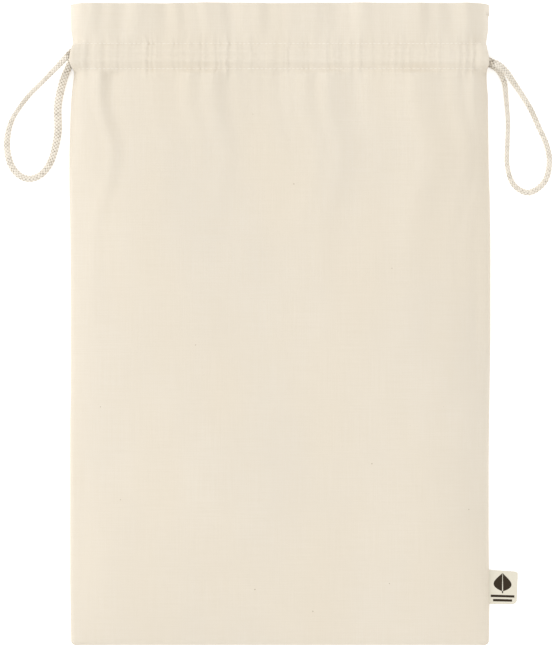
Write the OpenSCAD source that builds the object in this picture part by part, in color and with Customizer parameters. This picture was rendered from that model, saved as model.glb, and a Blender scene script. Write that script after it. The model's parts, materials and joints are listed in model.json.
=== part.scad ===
// Fabric gift sack: a flat cotton bag with a folded top hem, a cord channel and two drawcords.
// It lies on its back. X is its width, Y its length with the mouth at +Y, and Z its thickness.
// The origin is at the centre of the flat underside of the back panel.

/* [Sack] */
// Width of the sack, from side seam to side seam
sack_w = 295; // [285:1:305]
// Length of the sack, from bottom seam to mouth
sack_l = 450; // [430:1:460]
// Thickness of one ply of cloth
cloth_t = 0.6; // [0.4:0.1:0.7]
// Height of the inside of the sack at its middle
fullness = 14; // [12:0.5:18]
// How far each side draws in at the cord channel
waist_in = 2.5; // [1:0.5:3]
// Radius of the two bottom corners
corner_r = 5; // [2:0.5:8]

/* [Hem and channel] */
// Distance from the mouth down to the upper stitch row
header_l = 29; // [26:1:32]
// Distance between the two stitch rows, where the cords run
channel_w = 17.5; // [16.5:0.5:20]
// How far the hem's fold reaches below the lower stitch row
hem_turn = 2; // [1.5:0.5:3]
// Height of the gap between the front and the back casing
mouth_gap = 4.9; // [4.5:0.1:8]
// Width of the folded allowance at the side and bottom seams
allowance_w = 8; // [6:0.5:8]

/* [Cords] */
// Diameter of the braided cords
cord_d = 5; // [4:0.1:5]
// Play between a cord and the cloth round it
cord_play = 0.25; // [0.2:0.05:0.3]
// Length of the whipping that joins the two ends of a cord
join_l = 16; // [10:1:24]

/* [Label] */
// How far the folded label stands out of the right side seam
label_w = 20; // [16:1:24]
// Size of the label along the seam
label_l = 24; // [18:1:30]
// Distance from the bottom seam to the middle of the label
label_up = 41; // [30:1:80]

/* [Hidden] */

cloth_colour = "#EDE4D2";
thread_colour = "#F3ECDD";
cord_colour = "#E6DCC7";
label_colour = "#E9E6D8";

half_w = sack_w / 2;
bottom_y = -sack_l / 2;
mouth_y = sack_l / 2;
upper_stitch_y = mouth_y - header_l;
lower_stitch_y = upper_stitch_y - channel_w;
channel_y = (upper_stitch_y + lower_stitch_y) / 2;
hem_low_y = lower_stitch_y - hem_turn;

// Heights of the plies, from the back panel's underside up
seam_t = 2 * cloth_t;
edge_z = cloth_t + seam_t;
cord_r = cord_d / 2;
join_r = cord_r + 0.2;
channel_rise = 2 * cord_r + 2 * cord_play + 0.1;
back_casing_z = 2 * cloth_t + channel_rise;
casing_z = back_casing_z + mouth_gap;
header_z = casing_z + 1.8;

// Cord runs: the left cord in the upper half of the channel, the right cord in the lower half
cord_pitch = cord_d + 1;
left_cord_y = channel_y + cord_pitch / 2;
right_cord_y = channel_y - cord_pitch / 2;
back_cord_z = cloth_t + cord_play + cord_r;
front_cord_z = casing_z + cloth_t + cord_play + cord_r;
turn_r = (front_cord_z - back_cord_z) / 2;
turn_z = (front_cord_z + back_cord_z) / 2;
exit_x = half_w - waist_in + 0.5;
turn_x = exit_x - turn_r - cord_r - 2;
hem_half_w = turn_x;
join_x = 60;

// Slits in the side seams, between the stitch rows
slit_low_y = hem_low_y;
slit_high_y = upper_stitch_y + 2.5;
slit_rise_l = 4.5;

stitch_w = 0.8;
stitch_h = 0.35;
label_t = 1;
label_gap = 1.5;
label_round = 2;
tube_sides = 10;

// Left loop, seen from above: out of the slit on the front run, round, and back to the back run
left_route = [
    [-148.0, 188.5, 15.0], [-152.0, 185.0, 13.5], [-157.0, 179.5, 10.0], [-162.5, 174.0, 6.0],
    [-172.0, 165.0, 3.0], [-180.5, 156.0, 2.6], [-187.5, 145.0, 2.6], [-191.0, 134.0, 2.6],
    [-191.0, 122.0, 2.6], [-186.5, 110.0, 2.6], [-176.5, 103.0, 2.6], [-166.0, 109.0, 2.6],
    [-158.5, 121.5, 2.6], [-155.5, 136.5, 2.6], [-156.0, 151.0, 2.6], [-155.5, 163.0, 2.6],
    [-152.5, 173.0, 2.8], [-149.5, 181.0, 3.2], [-146.5, 187.5, 3.4]];

// Right loop, in the same order
right_route = [
    [148.5, 183.0, 15.0], [152.5, 181.5, 13.5], [158.0, 177.0, 10.0], [163.0, 170.5, 6.0],
    [169.0, 161.5, 3.0], [175.5, 150.5, 2.6], [181.5, 138.5, 2.6], [187.0, 126.0, 2.6],
    [189.0, 113.5, 2.6], [185.5, 100.0, 2.6], [174.5, 92.5, 2.6], [164.0, 98.0, 2.6],
    [159.5, 111.0, 2.6], [159.5, 126.0, 2.6], [160.0, 141.0, 2.6], [159.0, 155.0, 2.6],
    [157.0, 167.0, 2.6], [152.5, 176.0, 2.9], [147.5, 181.5, 3.4]];

// Stations across the sack, closer together towards the sides, as shares of the half width
across_n = 26;
// The hem and the stitches leave out this many stations at each side
inner_from = 3;
across = [for (i = [0:across_n]) sin(90 * (2 * i / across_n - 1))];
inner_across = [for (i = [inner_from:across_n - inner_from]) across[i]];

// Rows up the sack: close together at the bottom seam, the slits and the channel
body_rows_n = 13;
body_rows = [for (i = [0:body_rows_n])
    bottom_y + (hem_low_y - 12 - bottom_y) * (1 - cos(180 * i / body_rows_n)) / 2];
corner_rows = [bottom_y + 0.15 * corner_r, bottom_y + 0.5 * corner_r, bottom_y + corner_r];
slit_rows = [hem_low_y - 6, hem_low_y - 0.6];
channel_rows = [for (i = [1:7]) lower_stitch_y + channel_w * i / 8];
header_rows = [upper_stitch_y + 2.5, upper_stitch_y + 9, upper_stitch_y + 18, mouth_y];
lower_stitch_rows = [lower_stitch_y - stitch_w / 2, lower_stitch_y + stitch_w / 2];
upper_stitch_rows = [upper_stitch_y - stitch_w / 2, upper_stitch_y + stitch_w / 2];
hem_rows = concat([hem_low_y], lower_stitch_rows, channel_rows, upper_stitch_rows, header_rows);
rows = concat([body_rows[0]], corner_rows, [for (i = [2:body_rows_n]) body_rows[i]],
              slit_rows, hem_rows);

function smooth(t) = let (k = min(max(t, 0), 1)) k * k * (3 - 2 * k);

// Half width of the sack at a row
function corner_in(y) =
    y < bottom_y + corner_r ? corner_r - sqrt(pow(corner_r, 2) - pow(bottom_y + corner_r - y, 2)) : 0;
function half_width(y) = half_w - waist_in * exp(-pow((y - channel_y) / 14, 2)) - corner_in(y);

// 1 where the sides stand open as slits, 0 where the seam closes them
function slit_open(y) =
    smooth((y - slit_low_y) / slit_rise_l) * smooth((slit_high_y - y) / slit_rise_l);

// Height of the inside of the sack along its middle
function middle_z(y) =
    y < bottom_y + 90 ? edge_z + (fullness - edge_z) * sqrt(sin(90 * (y - bottom_y) / 90))
    : y < hem_low_y - 60 ? fullness
    : y < hem_low_y ? fullness + (casing_z - fullness) * smooth((y - hem_low_y + 60) / 60)
    : y < upper_stitch_y ? casing_z
    : casing_z + (header_z - casing_z) * smooth((y - upper_stitch_y) / header_l);

// Height of the inside at a station and a row: crowned, and flat across where the slits are
function crown_power(y) = 4 + 10 * smooth((y - hem_low_y + 90) / 80);
function inside_z(u, y) =
    let (edge = edge_z + (casing_z - edge_z) * slit_open(y))
    edge + (max(middle_z(y), edge) - edge) * (1 - pow(abs(u), crown_power(y)));

// How far the casing's outer ply stands off the inner one
function channel_lift(y) =
    let (t = (y - channel_y) / (channel_w / 2))
    abs(t) < 1 ? channel_rise * sqrt(1 - pow(t, 4)) : 0;

// Underside of the front panel, over the hem ply and the cords
function panel_z(u, y) = inside_z(u, y) + (y < hem_low_y ? 0 : cloth_t + channel_lift(y));

// A closed sheet from two grids of points, nx by ny, in rows
module sheet(low, high, nx, ny) {
    n = nx * ny;
    top = [for (j = [0:ny - 2], i = [0:nx - 2]) let (a = j * nx + i) [a, a + nx, a + nx + 1, a + 1]];
    front = [for (i = [0:nx - 2]) [i, i + n, i + 1 + n, i + 1]];
    back = [for (i = [0:nx - 2]) let (a = (ny - 1) * nx + i) [a + 1, a + 1 + n, a + n, a]];
    left = [for (j = [0:ny - 2]) let (a = j * nx) [a + nx, a + nx + n, a + n, a]];
    right = [for (j = [0:ny - 2]) let (a = j * nx + nx - 1) [a, a + n, a + nx + n, a + nx]];
    quads = concat([for (q = top) [for (v = q) v + n]],
                   [for (q = top) [q[0], q[3], q[2], q[1]]], front, back, left, right);
    polyhedron(points = concat(low, high),
               faces = [for (q = quads) each [[q[0], q[1], q[2]], [q[0], q[2], q[3]]]]);
}

// Outline of a strip along one side, from the side edge inwards
module side_strip(side, from_y, to_y, inset) {
    ys = concat([from_y], [for (y = rows) if (y > from_y && y < to_y) y], [to_y]);
    outer = [for (y = ys) [side * half_width(y), y]];
    inner = [for (k = [len(ys) - 1:-1:0]) [side * (half_width(ys[k]) - inset), ys[k]]];
    polygon(concat(outer, inner));
}

module outline() {
    left = [for (y = rows) [-half_width(y), y]];
    right = [for (k = [len(rows) - 1:-1:0]) [half_width(rows[k]), rows[k]]];
    polygon(concat(left, right));
}

module front_panel() {
    color(cloth_colour)
        sheet([for (y = rows, u = across) [u * half_width(y), y, panel_z(u, y)]],
              [for (y = rows, u = across) [u * half_width(y), y, panel_z(u, y) + cloth_t]],
              len(across), len(rows));
}

module back_panel() {
    color(cloth_colour) linear_extrude(cloth_t) outline();
}

// The part of the front cloth that is folded inwards at the mouth
module front_hem() {
    color(cloth_colour)
        sheet([for (y = hem_rows, u = inner_across) [u * half_width(y), y, inside_z(u, y)]],
              [for (y = hem_rows, u = inner_across) [u * half_width(y), y, inside_z(u, y) + cloth_t]],
              len(inner_across), len(hem_rows));
}

// The part of the back cloth that is folded inwards, over the cords
module back_hem() {
    xs = [-hem_half_w, 0, hem_half_w];
    color(cloth_colour)
        sheet([for (y = hem_rows, x = xs) [x, y, cloth_t + channel_lift(y)]],
              [for (y = hem_rows, x = xs) [x, y, 2 * cloth_t + channel_lift(y)]],
              len(xs), len(hem_rows));
}

// Folded allowances with their overlocked thread, closed below and above each slit
module side_seam(side) {
    color(thread_colour)
        translate([0, 0, cloth_t])
            linear_extrude(seam_t) {
                side_strip(side, bottom_y + allowance_w, slit_low_y, allowance_w);
                side_strip(side, slit_high_y, mouth_y - 1, allowance_w);
            }
}

module left_side_seam() { side_seam(-1); }

module right_side_seam() { side_seam(1); }

module bottom_seam() {
    ys = concat([for (y = rows) if (y < bottom_y + allowance_w) y], [bottom_y + allowance_w]);
    left = [for (y = ys) [-half_width(y), y]];
    right = [for (k = [len(ys) - 1:-1:0]) [half_width(ys[k]), ys[k]]];
    color(thread_colour)
        translate([0, 0, cloth_t]) linear_extrude(seam_t) polygon(concat(left, right));
}

// A row of stitches on the outside of the front panel
module front_stitch(ys) {
    function thread_z(u, y) = panel_z(u, y) + cloth_t;
    color(thread_colour)
        sheet([for (y = ys, u = inner_across) [u * half_width(y), y, thread_z(u, y)]],
              [for (y = ys, u = inner_across) [u * half_width(y), y, thread_z(u, y) + stitch_h]],
              len(inner_across), len(ys));
}

module front_upper_stitch() { front_stitch(upper_stitch_rows); }

module front_lower_stitch() { front_stitch(lower_stitch_rows); }

// A row of stitches on the inner side of the back hem, clear of the hem's slope
module back_stitch(y, z) {
    color(thread_colour)
        translate([-hem_half_w, y - stitch_w / 2, z]) cube([2 * hem_half_w, stitch_w, stitch_h]);
}

module back_upper_stitch() { back_stitch(upper_stitch_y + stitch_w, 2 * cloth_t); }

module back_lower_stitch() { back_stitch(lower_stitch_y - stitch_w, 2 * cloth_t); }

// A cord inside the casing: along the front, round at the far slit, and back. Side 1 leaves at -X
module cord_run(side, y) {
    run_l = exit_x + turn_x;
    color(cord_colour)
        scale([side, 1, 1]) {
            for (z = [back_cord_z, front_cord_z])
                translate([-exit_x, y, z]) {
                    sphere(r = cord_r, $fn = 32);
                    rotate([0, 90, 0]) cylinder(h = run_l, r = cord_r, $fn = 32);
                }
            translate([turn_x, y, turn_z])
                rotate([90, 0, 0])
                    rotate([0, 0, -90])
                        rotate_extrude(angle = 180, $fn = 48)
                            translate([turn_r, 0]) circle(r = cord_r, $fn = 32);
        }
}

module left_cord_run() { cord_run(1, left_cord_y); }

module right_cord_run() { mirror([1, 0, 0]) cord_run(1, right_cord_y); }

// Thread whipping round the butted ends of a cord, inside the casing
module cord_join(x, y) {
    color(thread_colour)
        translate([x - join_l / 2, y, front_cord_z])
            rotate([0, 90, 0])
                difference() {
                    cylinder(h = join_l, r = join_r, $fn = 32);
                    translate([0, 0, -1]) cylinder(h = join_l + 2, r = cord_r, $fn = 32);
                }
}

module left_cord_join() { cord_join(join_x, left_cord_y); }

module right_cord_join() { cord_join(-join_x, right_cord_y); }

// A smooth route through hand-set points, with one more point halfway between each pair
function route_point(route, k) = route[min(max(k, 0), len(route) - 1)];
function halfway(route, k) =
    (9 * (route[k] + route[k + 1]) - route_point(route, k - 1) - route_point(route, k + 2)) / 16;
function fine_route(route) =
    concat([for (k = [0:len(route) - 2]) each [route[k], halfway(route, k)]], [route[len(route) - 1]]);

function unit(v) = v / norm(v);

// A round tube along a route
module tube(route, r) {
    path = fine_route(route);
    n = len(path);
    rings = [for (k = [0:n - 1])
        let (along = unit(route_point(path, k + 1) - route_point(path, k - 1)),
             side = unit(cross(along, [0, 0, 1])),
             up = cross(side, along))
        for (a = [0:tube_sides - 1])
            path[k] + r * (cos(360 * a / tube_sides) * side + sin(360 * a / tube_sides) * up)];
    walls = [for (k = [0:n - 2], a = [0:tube_sides - 1])
        let (b = (a + 1) % tube_sides, here = k * tube_sides, next = here + tube_sides)
        [here + a, next + a, next + b, here + b]];
    polyhedron(points = rings,
               faces = concat([for (q = walls) each [[q[0], q[1], q[2]], [q[0], q[2], q[3]]]],
                              [[for (a = [0:tube_sides - 1]) a]],
                              [[for (a = [tube_sides - 1:-1:0]) (n - 1) * tube_sides + a]]));
}

module left_cord_loop() { color(cord_colour) tube(left_route, cord_r); }

module right_cord_loop() { color(cord_colour) tube(right_route, cord_r); }

// A tape folded double, its fold outwards, held in the right side seam
module side_label() {
    ply = 0.35 * label_t;
    x0 = half_w + label_gap;
    y0 = bottom_y + label_up - label_l / 2;
    z0 = edge_z / 2 + cloth_t / 2 - label_t / 2;
    color(label_colour)
        intersection() {
            translate([x0, y0, z0])
                difference() {
                    cube([label_w - label_gap, label_l, label_t]);
                    translate([-1, -1, ply])
                        cube([label_w - label_gap + 1 - 2 * ply, label_l + 2, label_t - 2 * ply]);
                }
            translate([x0, y0, 0])
                linear_extrude(10) {
                    square([label_w - label_gap - label_round, label_l]);
                    for (y = [label_round, label_l - label_round])
                        translate([label_w - label_gap - label_round, y])
                            circle(r = label_round, $fn = 48);
                    translate([0, label_round])
                        square([label_w - label_gap, label_l - 2 * label_round]);
                }
        }
}

front_panel();
back_panel();
front_hem();
back_hem();
left_side_seam();
right_side_seam();
bottom_seam();
front_upper_stitch();
front_lower_stitch();
back_upper_stitch();
back_lower_stitch();
left_cord_run();
right_cord_run();
left_cord_join();
right_cord_join();
left_cord_loop();
right_cord_loop();
side_label();
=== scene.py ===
"""Looks for a flat cotton drawstring gift sack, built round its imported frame.

Lengths are metres. X runs across the sack, Y along it to the mouth, Z up out of the front panel.
"""

import itertools
import json
import math

import bpy
import numpy as np
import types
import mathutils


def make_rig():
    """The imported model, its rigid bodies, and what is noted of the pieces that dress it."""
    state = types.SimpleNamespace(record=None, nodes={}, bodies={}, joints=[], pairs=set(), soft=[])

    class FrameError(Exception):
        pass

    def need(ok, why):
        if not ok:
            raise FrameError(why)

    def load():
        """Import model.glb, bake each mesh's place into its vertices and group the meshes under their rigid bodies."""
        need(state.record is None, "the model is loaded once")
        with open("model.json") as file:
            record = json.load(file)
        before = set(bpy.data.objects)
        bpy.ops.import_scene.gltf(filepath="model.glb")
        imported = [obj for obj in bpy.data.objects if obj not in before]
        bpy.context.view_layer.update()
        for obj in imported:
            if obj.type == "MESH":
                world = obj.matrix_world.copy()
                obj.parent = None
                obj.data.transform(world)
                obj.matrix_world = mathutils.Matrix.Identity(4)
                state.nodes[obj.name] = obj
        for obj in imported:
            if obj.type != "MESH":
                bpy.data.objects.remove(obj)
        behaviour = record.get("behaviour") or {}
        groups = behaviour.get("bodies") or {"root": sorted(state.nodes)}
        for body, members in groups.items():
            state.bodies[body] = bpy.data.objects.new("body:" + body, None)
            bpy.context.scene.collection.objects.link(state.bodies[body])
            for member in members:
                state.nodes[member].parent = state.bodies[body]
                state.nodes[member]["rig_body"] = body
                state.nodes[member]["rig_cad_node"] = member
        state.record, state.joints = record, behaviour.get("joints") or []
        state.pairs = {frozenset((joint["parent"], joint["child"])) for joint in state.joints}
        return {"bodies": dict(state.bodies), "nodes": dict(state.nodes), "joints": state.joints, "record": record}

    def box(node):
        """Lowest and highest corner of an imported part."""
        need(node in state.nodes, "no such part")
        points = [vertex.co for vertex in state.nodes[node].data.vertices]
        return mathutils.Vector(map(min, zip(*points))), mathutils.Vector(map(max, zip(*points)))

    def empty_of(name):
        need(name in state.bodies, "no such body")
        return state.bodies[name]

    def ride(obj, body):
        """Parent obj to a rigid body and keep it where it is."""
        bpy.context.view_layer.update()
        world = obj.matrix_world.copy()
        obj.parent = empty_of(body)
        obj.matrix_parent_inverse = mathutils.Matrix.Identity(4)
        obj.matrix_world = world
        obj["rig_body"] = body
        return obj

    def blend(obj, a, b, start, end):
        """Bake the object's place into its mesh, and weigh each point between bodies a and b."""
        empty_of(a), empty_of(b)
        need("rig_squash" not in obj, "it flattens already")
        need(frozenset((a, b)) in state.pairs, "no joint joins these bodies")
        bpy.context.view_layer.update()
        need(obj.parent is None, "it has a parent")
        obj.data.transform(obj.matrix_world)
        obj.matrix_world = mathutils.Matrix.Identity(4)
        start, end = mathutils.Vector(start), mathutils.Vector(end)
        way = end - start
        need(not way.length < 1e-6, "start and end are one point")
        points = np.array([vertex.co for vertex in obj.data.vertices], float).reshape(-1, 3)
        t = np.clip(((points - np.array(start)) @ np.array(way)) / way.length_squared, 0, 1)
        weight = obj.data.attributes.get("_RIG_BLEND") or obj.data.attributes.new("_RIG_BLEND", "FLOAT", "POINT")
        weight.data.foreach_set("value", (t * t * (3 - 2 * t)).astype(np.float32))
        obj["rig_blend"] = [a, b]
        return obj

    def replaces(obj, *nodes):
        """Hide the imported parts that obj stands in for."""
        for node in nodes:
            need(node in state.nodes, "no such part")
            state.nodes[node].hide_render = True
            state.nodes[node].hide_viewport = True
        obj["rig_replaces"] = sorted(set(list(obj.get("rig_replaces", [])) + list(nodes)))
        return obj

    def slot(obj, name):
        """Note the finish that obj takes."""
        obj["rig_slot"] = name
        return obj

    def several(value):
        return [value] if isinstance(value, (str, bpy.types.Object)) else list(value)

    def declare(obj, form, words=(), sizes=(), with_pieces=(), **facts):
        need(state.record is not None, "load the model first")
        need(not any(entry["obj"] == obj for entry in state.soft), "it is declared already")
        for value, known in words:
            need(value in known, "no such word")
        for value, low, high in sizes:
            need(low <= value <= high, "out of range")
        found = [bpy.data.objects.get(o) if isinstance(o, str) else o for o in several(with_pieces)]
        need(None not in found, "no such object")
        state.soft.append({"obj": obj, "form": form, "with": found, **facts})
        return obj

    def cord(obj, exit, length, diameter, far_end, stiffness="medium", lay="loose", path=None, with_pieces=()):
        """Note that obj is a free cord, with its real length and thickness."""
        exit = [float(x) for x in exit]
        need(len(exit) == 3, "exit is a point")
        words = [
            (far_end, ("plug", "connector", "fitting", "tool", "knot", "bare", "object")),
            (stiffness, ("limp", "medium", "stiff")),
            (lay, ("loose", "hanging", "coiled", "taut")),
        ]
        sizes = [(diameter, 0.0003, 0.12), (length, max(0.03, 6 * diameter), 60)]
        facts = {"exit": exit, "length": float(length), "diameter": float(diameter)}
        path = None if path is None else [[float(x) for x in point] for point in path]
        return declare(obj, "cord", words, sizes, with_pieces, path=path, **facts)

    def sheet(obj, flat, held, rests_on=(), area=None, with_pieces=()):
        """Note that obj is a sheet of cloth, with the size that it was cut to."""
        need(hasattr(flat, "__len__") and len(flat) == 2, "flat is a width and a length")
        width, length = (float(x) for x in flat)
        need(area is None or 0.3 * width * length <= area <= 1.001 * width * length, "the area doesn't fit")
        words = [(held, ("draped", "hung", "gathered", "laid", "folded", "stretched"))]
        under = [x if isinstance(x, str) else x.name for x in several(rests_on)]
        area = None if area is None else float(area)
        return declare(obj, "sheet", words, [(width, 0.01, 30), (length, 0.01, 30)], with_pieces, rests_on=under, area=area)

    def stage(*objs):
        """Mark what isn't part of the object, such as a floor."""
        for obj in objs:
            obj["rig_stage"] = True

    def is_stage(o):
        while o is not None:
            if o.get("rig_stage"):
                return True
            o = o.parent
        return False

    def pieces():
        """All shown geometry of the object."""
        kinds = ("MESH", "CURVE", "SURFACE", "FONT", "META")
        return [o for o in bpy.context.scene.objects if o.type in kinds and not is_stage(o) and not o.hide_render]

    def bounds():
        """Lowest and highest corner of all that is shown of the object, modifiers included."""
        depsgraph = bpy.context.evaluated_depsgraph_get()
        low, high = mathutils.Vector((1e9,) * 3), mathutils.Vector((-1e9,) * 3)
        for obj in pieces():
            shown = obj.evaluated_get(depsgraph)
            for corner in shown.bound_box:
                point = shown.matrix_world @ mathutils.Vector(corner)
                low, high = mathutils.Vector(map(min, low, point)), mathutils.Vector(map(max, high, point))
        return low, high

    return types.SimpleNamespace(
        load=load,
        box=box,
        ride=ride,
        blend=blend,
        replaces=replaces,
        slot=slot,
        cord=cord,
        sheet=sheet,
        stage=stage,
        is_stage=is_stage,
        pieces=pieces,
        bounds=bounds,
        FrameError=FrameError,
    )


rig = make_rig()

bl_info = {
    "name": "Cotton Gift Sack",
    "version": (1, 0, 0),
    "blender": (4, 5, 0),
    "location": "View3D > Sidebar > Gift Sack",
    "description": "Builds the cloth, cords, stitches and label of a drawstring gift sack",
    "category": "Add Mesh",
}

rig.load()
CAD_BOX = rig.bounds()

MM = 0.001


def middle(node):
    """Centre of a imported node's box."""
    low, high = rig.box(node)
    return (low + high) / 2


# ---- Places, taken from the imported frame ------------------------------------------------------

PANEL_LOW, PANEL_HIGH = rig.box("back_panel")
HALF_W = PANEL_HIGH.x
BOTTOM_Y = PANEL_LOW.y
MOUTH_Y = PANEL_HIGH.y
UPPER_ROW = middle("front_upper_stitch").y
LOWER_ROW = middle("front_lower_stitch").y
CHANNEL_Y = (UPPER_ROW + LOWER_ROW) / 2
CHANNEL_W = UPPER_ROW - LOWER_ROW
HEM_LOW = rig.box("front_hem")[0].y
SEAM_LOW, SEAM_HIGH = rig.box("right_side_seam")
SEAM_W = SEAM_HIGH.x - SEAM_LOW.x

RUN_LOW, RUN_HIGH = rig.box("left_cord_run")
CORD_R = (RUN_HIGH.y - RUN_LOW.y) / 2
LEFT_CORD_Y = middle("left_cord_run").y
RIGHT_CORD_Y = middle("right_cord_run").y
BACK_CORD_Z = RUN_LOW.z + CORD_R
FRONT_CORD_Z = RUN_HIGH.z - CORD_R
EXIT_X = -RUN_LOW.x - CORD_R
TURN_R = (FRONT_CORD_Z - BACK_CORD_Z) / 2
TURN_X = RUN_HIGH.x - TURN_R - CORD_R

LABEL_LOW, LABEL_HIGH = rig.box("side_label")
LABEL_ROOT_X = HALF_W - 2.5 * MM
LABEL_Z = middle("side_label").z
SIDES = ((-1, "left"), (1, "right"))

# Heights that the cloth follows
EDGE_Z = 1.8 * MM
BODY_Z = 14 * MM
ROW_Z = 15.4 * MM
HEADER_Z = 15.6 * MM
FRONT_RISE = 2.1 * MM
FRONT_SAG = 3.6 * MM
BACK_RISE = 5.6 * MM
CORNER_R = 3.5 * MM
SLIT_LOW = HEM_LOW
SLIT_HIGH = UPPER_ROW + 2.5 * MM
SLIT_RISE = 4.5 * MM
SEAM_Z = 1.2 * MM
EDGE_ROUND = 3.0 * MM
FOLD_R = 0.65 * MM
# How far down inside the mouth a panel's turned edge goes, in steps, and where its hem starts
FOLD_STEPS = (1.2 * MM, 3.6 * MM, 7.2 * MM)
HEM_DROP = 3.6 * MM
# How far a panel's side edges turn in where a slit leaves them open, at the front and the back
FRONT_LIP = -1.6 * MM
BACK_LIP = 1.0 * MM
# The body rises to its full height over the first length, and to the casing over the second
BODY_RISE_L = 90 * MM
CASING_RISE_L = 60 * MM
# The mouth's edge waves by this much, and lies this much short of its full height
MOUTH_WAVE = 0.4 * MM
MOUTH_DROP = 0.7 * MM
# A pulled cord moves the cloth this far below the channel, and the mouth's edge less by a share
GATHER_L = 260 * MM
MOUTH_LAG = 0.3
# The front cloth's folds are drawn from seeds that start here
FRONT_SEED = 20

# Length of cloth that a unit of UV covers
CUT_SPAN = 600 * MM

# The seams' allowances: their heights, and how far they stop from the corners and the mouth
SIDE_ALLOWANCE_Z = 1.55 * MM
BOTTOM_ALLOWANCE_Z = 1.5 * MM
ALLOWANCE_WAVE = 0.08 * MM
CORNER_GAP = 8 * MM
MOUTH_GAP = 4 * MM
OVERLOCK_IN = 0.5 * MM
OVERLOCK_UP = 0.1 * MM

# Half thickness of a cord's strand, how far it rises over the strands that it crosses, and how
# many strands run each way round
STRAND_R = 0.46 * MM
STRAND_RISE = 0.36 * MM
STRANDS = 5
# Half width of a run, and the product of a flattened loop's half axes with the limits of its height
RUN_HALF = 2.45 * MM
LOOP_AREA = 5 * MM * MM
LOOP_HALF_HIGH = (1.75 * MM, 2.0 * MM)
# Height of a round cord's middle on the ground, from which a flattened loop comes down
ROUND_Z = 2.5 * MM
# Detail of a braid: the step along it, the sides of a strand and the sides of the core
LOOP_DETAIL = (0.34 * MM, 6, 12)
RUN_DETAIL = (0.55 * MM, 5, 8)
WHIPPING_SHARE = 1.4

# The label: the gap inside its fold, how far its fold stops from its full reach, and its print
LABEL_GAP = 0.1 * MM
LABEL_SHORT = 1.7 * MM
LABEL_SLOPE = 0.9 * MM
LABEL_SKEW = 1.6 * MM
PRINT_X = HALF_W + 8.7 * MM
PRINT_GAP = 0.01 * MM
INK_DEEP = 0.03 * MM
LEAF_LOW = LABEL_LOW.y + 9.2 * MM
LEAF_TALL = 13.2 * MM
LEAF_HALF = 7.0 * MM
RIB_HALF = 0.36 * MM
STEM_HALF = 0.4 * MM
BAR_HALF = 0.85 * MM
# The printed bars: (height over the label's lower edge, width)
BARS = ((5.7 * MM, 16.6 * MM), (2.7 * MM, 13.4 * MM))

# The stage: the height that the camera sees, its own place, the floor, and each lamp's name,
# place, size and power
VIEW_HEIGHT = 0.4571
VIEW_Y = -1.4 * MM
VIEW_TOP_Z = 8 * MM
FLOOR_HALF = 6.0
FLOOR_Z = -0.3 * MM
LAMPS = (("Key", (-3.1, 0.95, 1.95), 1.5, 41.0), ("Fill", (1.3, -0.6, 2.0), 1.4, 4.0))

# The loops' routes, as the frame's cords have them: out on the front run, back to the back run
LEFT_ROUTE = [
    (-148.5, 187.4, 15.0), (-153.7, 182.0, 13.5), (-158.5, 177.6, 10.0), (-163.5, 173.0, 6.0),
    (-170.0, 167.0, 3.2), (-175.6, 161.5, 2.6), (-182.3, 153.0, 2.6), (-188.2, 143.2, 2.6),
    (-191.2, 132.2, 2.6), (-191.2, 120.8, 2.6), (-188.2, 110.8, 2.6), (-182.4, 104.2, 2.6),
    (-175.2, 102.2, 2.6), (-167.6, 105.2, 2.6), (-161.8, 112.4, 2.6), (-158.2, 122.5, 2.6),
    (-155.8, 136.0, 2.6), (-156.1, 151.0, 2.6), (-154.3, 162.8, 2.6), (-151.4, 173.0, 2.8),
    (-148.6, 180.0, 3.2), (-146.2, 185.5, 3.4),
]
RIGHT_ROUTE = [
    (148.5, 183.0, 15.0), (152.5, 181.5, 13.5), (158.0, 177.0, 10.0), (163.0, 170.5, 6.0),
    (169.6, 161.2, 3.0), (176.0, 150.7, 2.6), (181.5, 138.5, 2.6), (187.0, 126.0, 2.6),
    (189.0, 113.5, 2.6), (185.5, 100.0, 2.6), (174.5, 92.5, 2.6), (164.0, 98.0, 2.6),
    (159.5, 111.0, 2.6), (159.5, 126.0, 2.6), (160.0, 141.0, 2.6), (159.0, 155.0, 2.6),
    (157.4, 169.6, 2.7), (153.0, 178.4, 3.0), (147.5, 182.2, 3.4),
]
# Larger folds: (place across the sack in mm, half width in mm, share of the full depth)
HEADER_FOLDS = [
    (-133, 7, 0.6), (-98, 8, 0.85), (-58, 12, 0.5), (-13, 8, 0.8), (26, 9, 0.25), (60, 9, 0.65),
    (98, 10, 0.95), (133, 6, 0.85),
]
FALLING_FOLDS = [
    (-125, 5.5, 0.9), (-88, 7, 0.3), (-48, 9, 0.2), (35, 8, 0.8), (97, 10, 0.95), (124, 5, 0.4),
    (137, 4.5, 0.7),
]
# Half width of the sack at places along it, both in mm: nipped at the rows, full at the lips
LEFT_SHAPE = [
    (-225, 146.6), (-210, 146.9), (-180, 147.3), (-70, 147.3), (-40, 146.8), (20, 146.8),
    (70, 147.3), (95, 147.9), (120, 147.9), (140, 147.3), (150, 147.0), (160, 146.4),
    (166, 145.7), (172, 144.9), (177, 144.4), (179.5, 145.6), (183, 147.0), (187, 147.2),
    (191, 146.2), (195, 145.0), (199, 145.3), (206, 146.6), (221, 146.8), (225, 146.2),
]
RIGHT_SHAPE = [
    (-225, 146.7), (-200, 147.0), (-150, 146.5), (-95, 146.5), (-40, 147.2), (-10, 147.7),
    (60, 147.7), (90, 147.2), (110, 146.5), (160, 146.0), (168, 145.2), (176, 144.9),
    (179.5, 145.5), (183, 146.0), (188, 145.7), (192, 144.5), (197, 144.5), (202, 145.3),
    (206, 146.0), (225, 146.3),
]
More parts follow.
